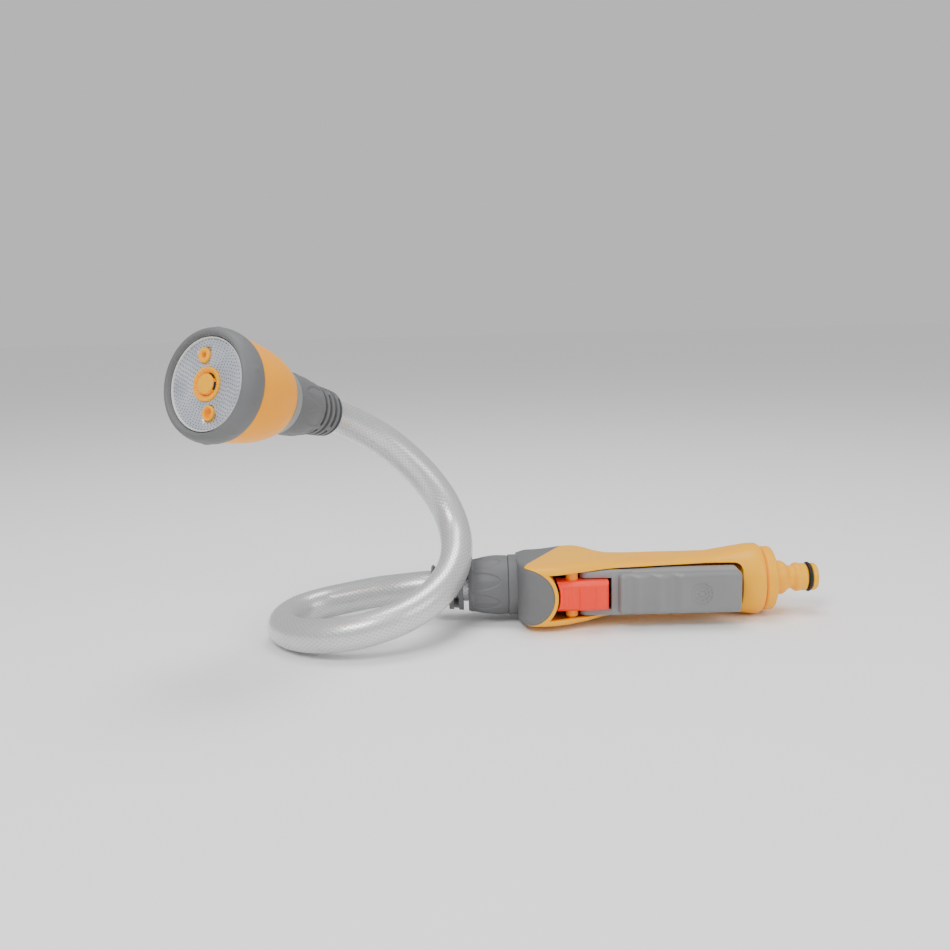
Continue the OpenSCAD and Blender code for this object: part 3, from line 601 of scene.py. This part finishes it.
def window_cutter():
    """The opening that the trigger and its lock stand in."""
    half, corner, right = 13.1, 4, -48.7
    lower = arc(right - corner, -half + corner, corner, -90, 0, 8)
    upper = arc(right - corner, half - corner, corner, 0, 90, 8)
    outline = [(CHEEK_X, -half)] + lower + upper + [(CHEEK_X, half)]
    return prism("window", [(u, v + AXIS_H) for u, v in outline], -45, -5, GREY, axis="y")


def make_shell():
    """The yellow shell: hollow, open at the front for the trigger and cut along the slanted seam."""
    shell = skin_solid("shell", 0, -176.5, -36, YELLOW)
    boolean(shell, seam_cutter())
    boolean(shell, cheek_cutter(CHEEK_R + 0.15))
    hollow = skin_solid("hollow", WALL, -164, -47.5, YELLOW, 3)
    boolean(hollow, cheek_cutter(CHEEK_R + WALL))
    boolean(hollow, prism("tail", [(-48, -40), (-20, -40), (-20, 40), (-48, 40)], -40, 80, GREY))
    window = window_cutter()
    boolean(window, cheek_cutter(CHEEK_R + WALL))
    boolean(shell, hollow)
    boolean(shell, window)
    boolean(shell, rod("bore", (-42, 0, AXIS_H), (1, 0, 0), 10.1, 20, GREY))
    soften(shell, 0.45, 3, 32)
    done(shell, "handle", "yellow_shell", "handle_shell")


def make_nose():
    """The grey nose: what the shell leaves free, with the round cheek and the collar for the hose nut."""
    nose = skin_solid("nose", 0, -176.5, -136, GREY)
    area = seam_cutter()
    boolean(area, cheek_cutter(CHEEK_R - 0.15), "UNION")
    boolean(nose, area, "INTERSECT")
    boolean(nose, rod("bore", (-170, 0, AXIS_H), (1, 0, 0), 7.3, 90, GREY))
    soften(nose, 0.7, 3, 32)
    done(nose, "handle", "grey_housing", "nose_housing")
    profile = rounded([(7.3, -181.5), (17.4, -181.5), (17.4, -172.5), (7.3, -172.5)], 0.5)
    collar = lathe("nose_collar", profile, GREY, HANDLE)
    done(collar, "handle", "grey_housing")


make_shell()
make_nose()


# ---------------------------------------------------------------- hose nuts
def make_nut(name, matrix, length, sleeve, r, body, node):
    """A hose nut with pressed-in petals and a sleeve slotted so that it can flex."""
    outline = rounded([
        (9.4, 0), (11.8, 0), (12.6, 1.2), (r - 2.8, sleeve - 1.6), (r - 2.1, sleeve), (r - 0.5, sleeve + 7.5),
        (r, sleeve + 13), (r - 0.4, length), (13.2, length), (13.2, 24), (9.4, 24),
    ], [0.2, 0.8, 0.8, 0.8, 1.5, 3, 3, 0.5, 0.2, 0.2, 0.2])
    petals = 8

    def petal(radius, z, a):
        t = (z - sleeve - 0.6) / (length - sleeve - 5)
        if radius < 13.5 or not 0 < t < 1:
            return radius, z
        f = (a * petals / (2 * math.pi)) % 1 * 2 - 1
        wide = 0.92 * math.sqrt(1 - t ** 2)
        d = (wide - abs(f)) / 0.16
        dip = min(1, max(0, d))
        share = 0.45 + 0.55 * abs(f) / max(wide, 0.05)
        return radius - 0.7 * dip * dip * (3 - 2 * dip) * min(1, t / 0.06) * share, z

    nut = lathe(name, finer(outline, 0.45), GREY, matrix, 320, petal)
    slot = 0.13 * sleeve
    for k in range(4):
        z = sleeve * (0.13 + 0.245 * k)
        for side in (-1, 1):
            low, high = sorted((side * 1.3, side * 20))
            outline = [(low, -20), (high, -20), (high, 20), (low, 20)]
            turn = matrix @ Matrix.Rotation(math.radians(90 * (k % 2) + 45), 4, "Z")
            boolean(nut, prism("slot", outline, z - slot / 2, z + slot / 2, BLACK, matrix=turn))
    soften(nut, 0.25, 2, 45)
    return done(nut, body, "grey_housing", node)


make_nut("handle_hose_nut", Matrix.Translation((-226, 0, 0)) @ HANDLE, 44.4, 23, 17.3, "handle", "handle_nut")
make_nut("head_hose_nut", HEAD, 38.6, 18, 16.4, "head", "head_nut")


# ---------------------------------------------------------------- inlet spigot
def make_spigot():
    """The quick-connect spigot, from its open end back to the flange, and its seal ring."""
    outline = rounded([
        (4.8, 0), (6.9, 0), (7.95, -1.1), (7.95, -3.4), (6.45, -3.4), (6.45, -6.4), (7.95, -6.4), (7.95, -9.8),
        (8.35, -10.8), (8.35, -12.6), (6.65, -14.6), (6.65, -16.4), (8.95, -19), (9.8, -20.4), (9.8, -26.6),
        (17.4, -26.6), (18.4, -27.6), (18.4, -31.9), (17.3, -32.8), (16.6, -32.8), (16.6, -34), (10, -34),
        (10, -48), (4.8, -48),
    ], 0.7)
    inlet = Matrix.Translation((-2, 0, 0)) @ HANDLE
    done(lathe("spigot", outline, YELLOW, inlet, 128), "handle", "yellow_shell", "inlet_spigot")
    seal = [(7.55 + 1.1 * math.cos(a), -4.9 + 1.1 * math.sin(a)) for a in [2 * math.pi * k / 20 for k in range(20)]]
    done(lathe("spigot_seal", seal, BLACK, inlet, 96), "handle", "black_rubber", "inlet_seal_ring")


make_spigot()


# ---------------------------------------------------------------- trigger and lock
def make_trigger():
    """The trigger's lever with its arms and side walls, the soft pad and the pad's patch of dots."""
    pad_half, left, end, back, front = 12, -121, -52, -20.2, -24.2
    pivot, arm_at, arm_half, wall_at, wall_half = (-138, -19.5), 10.75, 1.75, 11.2, 0.8
    ends = arc(end - 3, 3 - pad_half, 3, -90, 0, 6) + arc(end - 3, pad_half - 3, 3, 0, 90, 6)
    outline = [(left - 3.4, -pad_half), (end - 3, -pad_half)] + ends + [(left - 3.4, pad_half)]
    bar = prism("trigger_bar", outline, front, back, LIGHT, axis="y", matrix=LIFT)
    for side in (-1, 1):
        outline = arc(*pivot, 4, 60, 270, 16) + [(-113, front), (-113, back)]
        arm = prism("arm", outline, side * arm_at - arm_half, side * arm_at + arm_half, LIGHT, matrix=LIFT)
        boolean(bar, arm, "UNION")
        outline = ([(left, front + 0.5), (end - 1.6, front + 0.5), (end - 1.6, -15)]
                   + arc(end - 3.6, -16, 2, 30, 90, 5) + [(left + 2, -14), (left, -16)])
        low, high = side * wall_at - wall_half, side * wall_at + wall_half
        boolean(bar, prism("wall", outline, low, high, LIGHT, matrix=LIFT), "UNION")
    boolean(bar, rod("pin", (*pivot, AXIS_H), (0, 0, 1), 2.05, 60, LIGHT))
    soften(bar, 0.8, 3, 35)
    done(bar, "trigger", "light_grey", "trigger_lever")

    # The pad's face: rounded edges, three finger hollows, and a patch of small dots
    across, along = 48, 200
    half, depth, hollows, hollow_part = pad_half - 0.1, 5.6, 3, 0.52
    rings = []
    for i in range(along + 1):
        f = i / along
        x = left + 0.3 + (end - left - 0.3) * f
        edge = min(x - left - 0.3, end - x)
        cap = 1 - max(0, 1 - edge / 3.0) ** 2
        tall = depth * (0.25 + 0.75 * math.sqrt(max(0, cap)))
        if f < hollow_part:
            wave = 1.9 * (0.5 - 0.5 * math.cos(2 * math.pi * hollows * f / hollow_part))
        else:
            wave = 0.5 * math.sin(math.pi * (f - hollow_part) / 0.48)
        hw = half - 2.2 * (1 - math.sqrt(max(0, 1 - max(0, 1 - edge / 3.0) ** 2)))
        ring = [(x, front, -hw)]
        for k in range(across + 1):
            z = -hw + 2 * hw * k / across
            side = max(0, 1 - (hw - abs(z)) / 2.6)
            y = front - (tall - wave * (1 - side ** 3)) * (0.12 + 0.88 * math.sqrt(max(0, 1 - side ** 2)))
            ring.append((x, y, z))
        ring.append((x, front, hw))
        rings.append(ring)
    pad = piece("trigger_pad", *rings_mesh(rings), SOFT, LIFT)
    pad.data.set_sharp_from_angle(angle=math.radians(50))
    done(pad, "trigger", "soft_grey", "finger_pad")
    dots_x, sides, dots = -75, 10, []
    for row, (r, n) in enumerate(((1.9, 6), (3.9, 12), (5.9, 18))):
        angles = [2 * math.pi * k / n + row * 0.2 for k in range(n)]
        dots += [(r * math.cos(a), r * math.sin(a)) for a in angles]
    angles = [2 * math.pi * k / sides for k in range(sides)]
    verts, faces = [], []
    for u, v in dots:
        for lift, r in ((0.05, 0.5), (-0.22, 0.4), (-0.36, 0.18)):
            verts += [(dots_x + u + r * math.cos(a), front - depth + lift, v + r * math.sin(a)) for a in angles]
        top = len(verts) - sides
        for low in (top - 2 * sides, top - sides):
            faces += [(low + k, low + (k + 1) % sides, low + sides + (k + 1) % sides, low + sides + k)
                      for k in range(sides)]
        faces.append(tuple(top + k for k in range(sides)))
    done(piece("pad_dots", verts, faces, SOFT, Matrix.Translation((0, 0.35, AXIS_H))), "trigger", "soft_grey")


def make_lock():
    """The red lock block with its thumb step and grooves, and the post above and below it."""
    half, pivot = 8.4, (-146.5, -22, AXIS_H)
    outline = [(-155.6, -30.2), (-127.6, -30.2), (-126.6, -28.6), (-126.6, -18.6), (-155.6, -18.6)]
    block = prism("lock_block", outline, -half, half, RED, matrix=LIFT)
    for side in (-1, 1):
        edge, past = side * half, side * (half + 1)
        outline = [(-31, side * (half - 2.6)), (-31, past), (-27.6, past), (-27.6, edge)]
        boolean(block, prism("bevel", outline, -160, -120, RED, axis="x", matrix=LIFT))
    boolean(block, rod("rim", (CHEEK_X, -30, AXIS_H), (0, 1, 0), CHEEK_R + WALL + 1.2, 60, RED, 96))
    # A raised thumb step across the block's face, and shallow grooves beside it
    for x in (-151.6, -149.4, -147.2):
        boolean(block, rod("groove", (x, -30.7, AXIS_H), (0, 0, 1), 0.8, 11, RED, 24))
    outline = [(-143.4, -30), (-142.2, -31.4), (-134.6, -31.4), (-133, -30)]
    boolean(block, prism("step", outline, -6.2, 6.2, RED, matrix=LIFT), "UNION")
    boolean(block, rod("pin", pivot, (0, 0, 1), 2.05, 60, RED))
    soften(block, 0.5, 3, 30)
    done(block, "lock", "red_plastic", "trigger_lock")
    post = rounded([(2.1, 8.3), (3.4, 8.3), (3.4, 12.5), (2.1, 12.5)], 0.35)
    for name, turn in (("upper_lock_post", HERE), ("lower_lock_post", Matrix.Rotation(math.pi, 4, "X"))):
        done(lathe(name, post, ORANGE, Matrix.Translation(pivot) @ turn, 48), "lock", "orange_plastic")


make_trigger()
make_lock()


# ---------------------------------------------------------------- spray head
def make_head():
    """The spray head, drawn along its own axis from the sleeve's tip to the face."""
    ring = rounded([(12, 38.6), (16.2, 38.6), (17.2, 41.2), (18.1, 44.2), (12, 44.2)], [0.1, 0.5, 2, 0.5, 0.1])
    done(lathe("neck_ring", ring, LIGHT, HEAD, 128), "head", "light_grey")
    bowl = rounded([
        (9.1, 44.3), (18, 44.3), (19.5, 46), (21, 49), (22.7, 54), (24.1, 60), (25.1, 67), (25.9, 76.6),
        (22.9, 76.6), (22.7, 61), (19.9, 51), (16.5, 46.7), (9.1, 46.7),
    ], [0.2, 0.4, 2, 3, 3, 3, 3, 0.3, 0.2, 3, 3, 2, 0.2])
    done(lathe("orange_bowl", bowl, ORANGE, HEAD, 160), "head", "orange_plastic", "bowl")

    nubs = 10

    def nub(r, z, a):
        if r < 25.5:
            return r, z
        f = math.cos(a * nubs / 2) ** 2
        bump = max(0, (f - 0.93) / 0.07) * max(0, 1 - abs(z - 83.5) / 3.2)
        return r + 0.3 * min(1, bump * 1.6), z

    bezel = rounded([
        (26.2, 77), (27.1, 79.6), (27.5, 82.4), (27.5, 84.6), (27, 87), (26, 89.2), (24.6, 90), (23.6, 89.7),
        (22.7, 87.8), (22.4, 86.8), (22.4, 84.4), (20.6, 84.4), (20.6, 79), (22.7, 79), (22.7, 77),
    ], [0.4, 2, 2, 2, 2, 1.5, 1, 0.8, 0.5, 0.2, 0.1, 0.1, 0.1, 0.1, 0.1])
    done(lathe("grey_bezel", finer(bezel, 0.7), GREY, HEAD, 240, nub), "spray_face", "grey_housing", "bezel")

    rim = rounded([(21.6, 86.6), (22.35, 86.6), (22.35, 87.9), (21.9, 88.1), (21.6, 87.6)], 0.2)
    done(lathe("rose_rim", rim, WHITE, HEAD, 160), "spray_face", "white_tube")
    face = HEAD @ Matrix.Rotation(math.radians(14), 4, "Z")
    plate = rounded([(8.35, 84.4), (22.2, 84.4), (22.2, 86.9), (20, 87.05), (8.35, 87.25)], 0.1)
    rose = lathe("pierced_rose", plate, plate_material(), face, 160)
    jet_at = 14
    for side in (-1, 1):
        at = face @ Matrix.Translation((side * jet_at, 0, 0))
        boolean(rose, prism("jet_hole", arc(0, 0, 3.65, 0, 354, 59), 82, 90, GREY, matrix=at))
    done(rose, "spray_face", "plated", "rose_plate")

    ribs = 36

    def serrated(r, z, a):
        if 5.6 < r < 8.0 and z > 86.9:
            return r, z + 0.28 * math.cos(a * ribs)
        return r, z

    cone = rounded([
        (0.02, 83.2), (9.2, 83.2), (9.2, 84.4), (8.3, 84.4), (8.3, 87.7), (7.9, 88.2), (7.2, 88.2), (6.4, 87.6),
        (5.6, 87), (5.3, 86.2), (5.05, 86.2), (4.9, 88.2), (4.5, 88.8), (3.5, 88.95), (0.02, 89),
    ], 0.25)
    cap = lathe("cone_cap", cone, DEEP_ORANGE, face, 288, serrated)
    done(cap, "spray_face", "orange_plastic", "cone_nozzle")
    # Two black pieces in the openings on one side of the centre button: painted shade inside them
    verts, faces = [], []
    for a0, a1 in ((-52, -12), (12, 52)):
        base, n = len(verts), 14
        for k in range(n + 1):
            a = math.radians(a0 + (a1 - a0) * k / n + 100)
            for r, z in ((4.95, 87.9), (5.5, 87.4), (5.5, 86.4), (4.95, 86.4)):
                verts.append((r * math.cos(a), r * math.sin(a), z))
        for k in range(n):
            low = base + k * 4
            faces += [(low + c, low + (c + 1) % 4, low + 4 + (c + 1) % 4, low + 4 + c) for c in range(4)]
        faces += [tuple(base + c for c in range(4)), tuple(base + n * 4 + c for c in range(4))]
    done(piece("cone_opening_shade", verts, faces, BLACK, face), "spray_face", "black_rubber")
    for name, side, bore, node in (("upper_jet", -1, 1.5, "fine_jet"), ("lower_jet", 1, 2.4, "flat_jet")):
        outline = rounded([
            (0.02, 83.4), (4.4, 83.4), (4.4, 84.4), (3.6, 84.4), (3.6, 88.1), (3.1, 88.5), (bore + 0.5, 88.5),
            (bore, 87.9), (bore * 0.8, 85.2), (0.02, 85),
        ], 0.25)
        at = face @ Matrix.Translation((side * jet_at, 0, 0))
        done(lathe(name, outline, DEEP_ORANGE, at, 64), "spray_face", "orange_plastic", node)


make_head()

# ---------------------------------------------------------------- materials of the CAD nodes that show
FINISH = {
    "steel": STEEL, "brass": BRASS, "wire": WIRE, "dark_grey": DARK, "white_tube": WHITE, "black_rubber": BLACK,
    "light_grey": LIGHT, "orange_plastic": ORANGE, "grey_housing": GREY, "yellow_shell": YELLOW, "hose": GREY,
    "soft_grey": SOFT, "red_plastic": RED, "plated": STEEL,
}
for sub in frame["record"]["subparts"]:
    node = frame["nodes"][sub["node"]]
    node.data.materials.clear()
    node.data.materials.append(FINISH[sub["material_slot"]])


# ---------------------------------------------------------------- floor and light
def make_stage():
    """A plain pale floor under soft white light."""
    floor = Shader("floor", Specular_IOR_Level=0.2)
    tone = floor.noise(6, 3)
    floor.feed("Base Color", floor.blend(tone, (0.96, 0.96, 0.96), (0.98, 0.98, 0.98)))
    floor.feed("Roughness", tone * 0.1 + 0.75)
    size, n = 6000, 6
    ticks = [-size + 2 * size * i / n for i in range(n + 1)]
    verts = [(x, y, -0.05) for x in ticks for y in ticks]
    faces = [(i * (n + 1) + j, (i + 1) * (n + 1) + j, (i + 1) * (n + 1) + j + 1, i * (n + 1) + j + 1)
             for i in range(n) for j in range(n)]
    piece("floor", verts, faces, floor.mat)
    sky = bpy.data.worlds.new("studio")
    sky.use_nodes = True
    sky.node_tree.nodes["Background"].inputs["Color"].default_value = (1, 1, 1, 1)
    sky.node_tree.nodes["Background"].inputs["Strength"].default_value = 0.64
    bpy.context.scene.world = sky
    for name, at, aim, size, power in (
        ("key", (-500, -700, 900), (-200, 0, 60), 420, 6.5),
        ("fill", (500, -600, 500), (-150, 0, 40), 500, 2.5),
        ("top", (-150, 100, 1100), (-200, 0, 40), 520, 6),
    ):
        light = bpy.data.lights.new(name, "AREA")
        light.size, light.energy = size * MM, power
        ob = bpy.data.objects.new(name, light)
        bpy.context.scene.collection.objects.link(ob)
        ob.location = world(at)
        ob.rotation_euler = (world(aim) - world(at)).to_track_quat("-Z", "Y").to_euler()


make_stage()
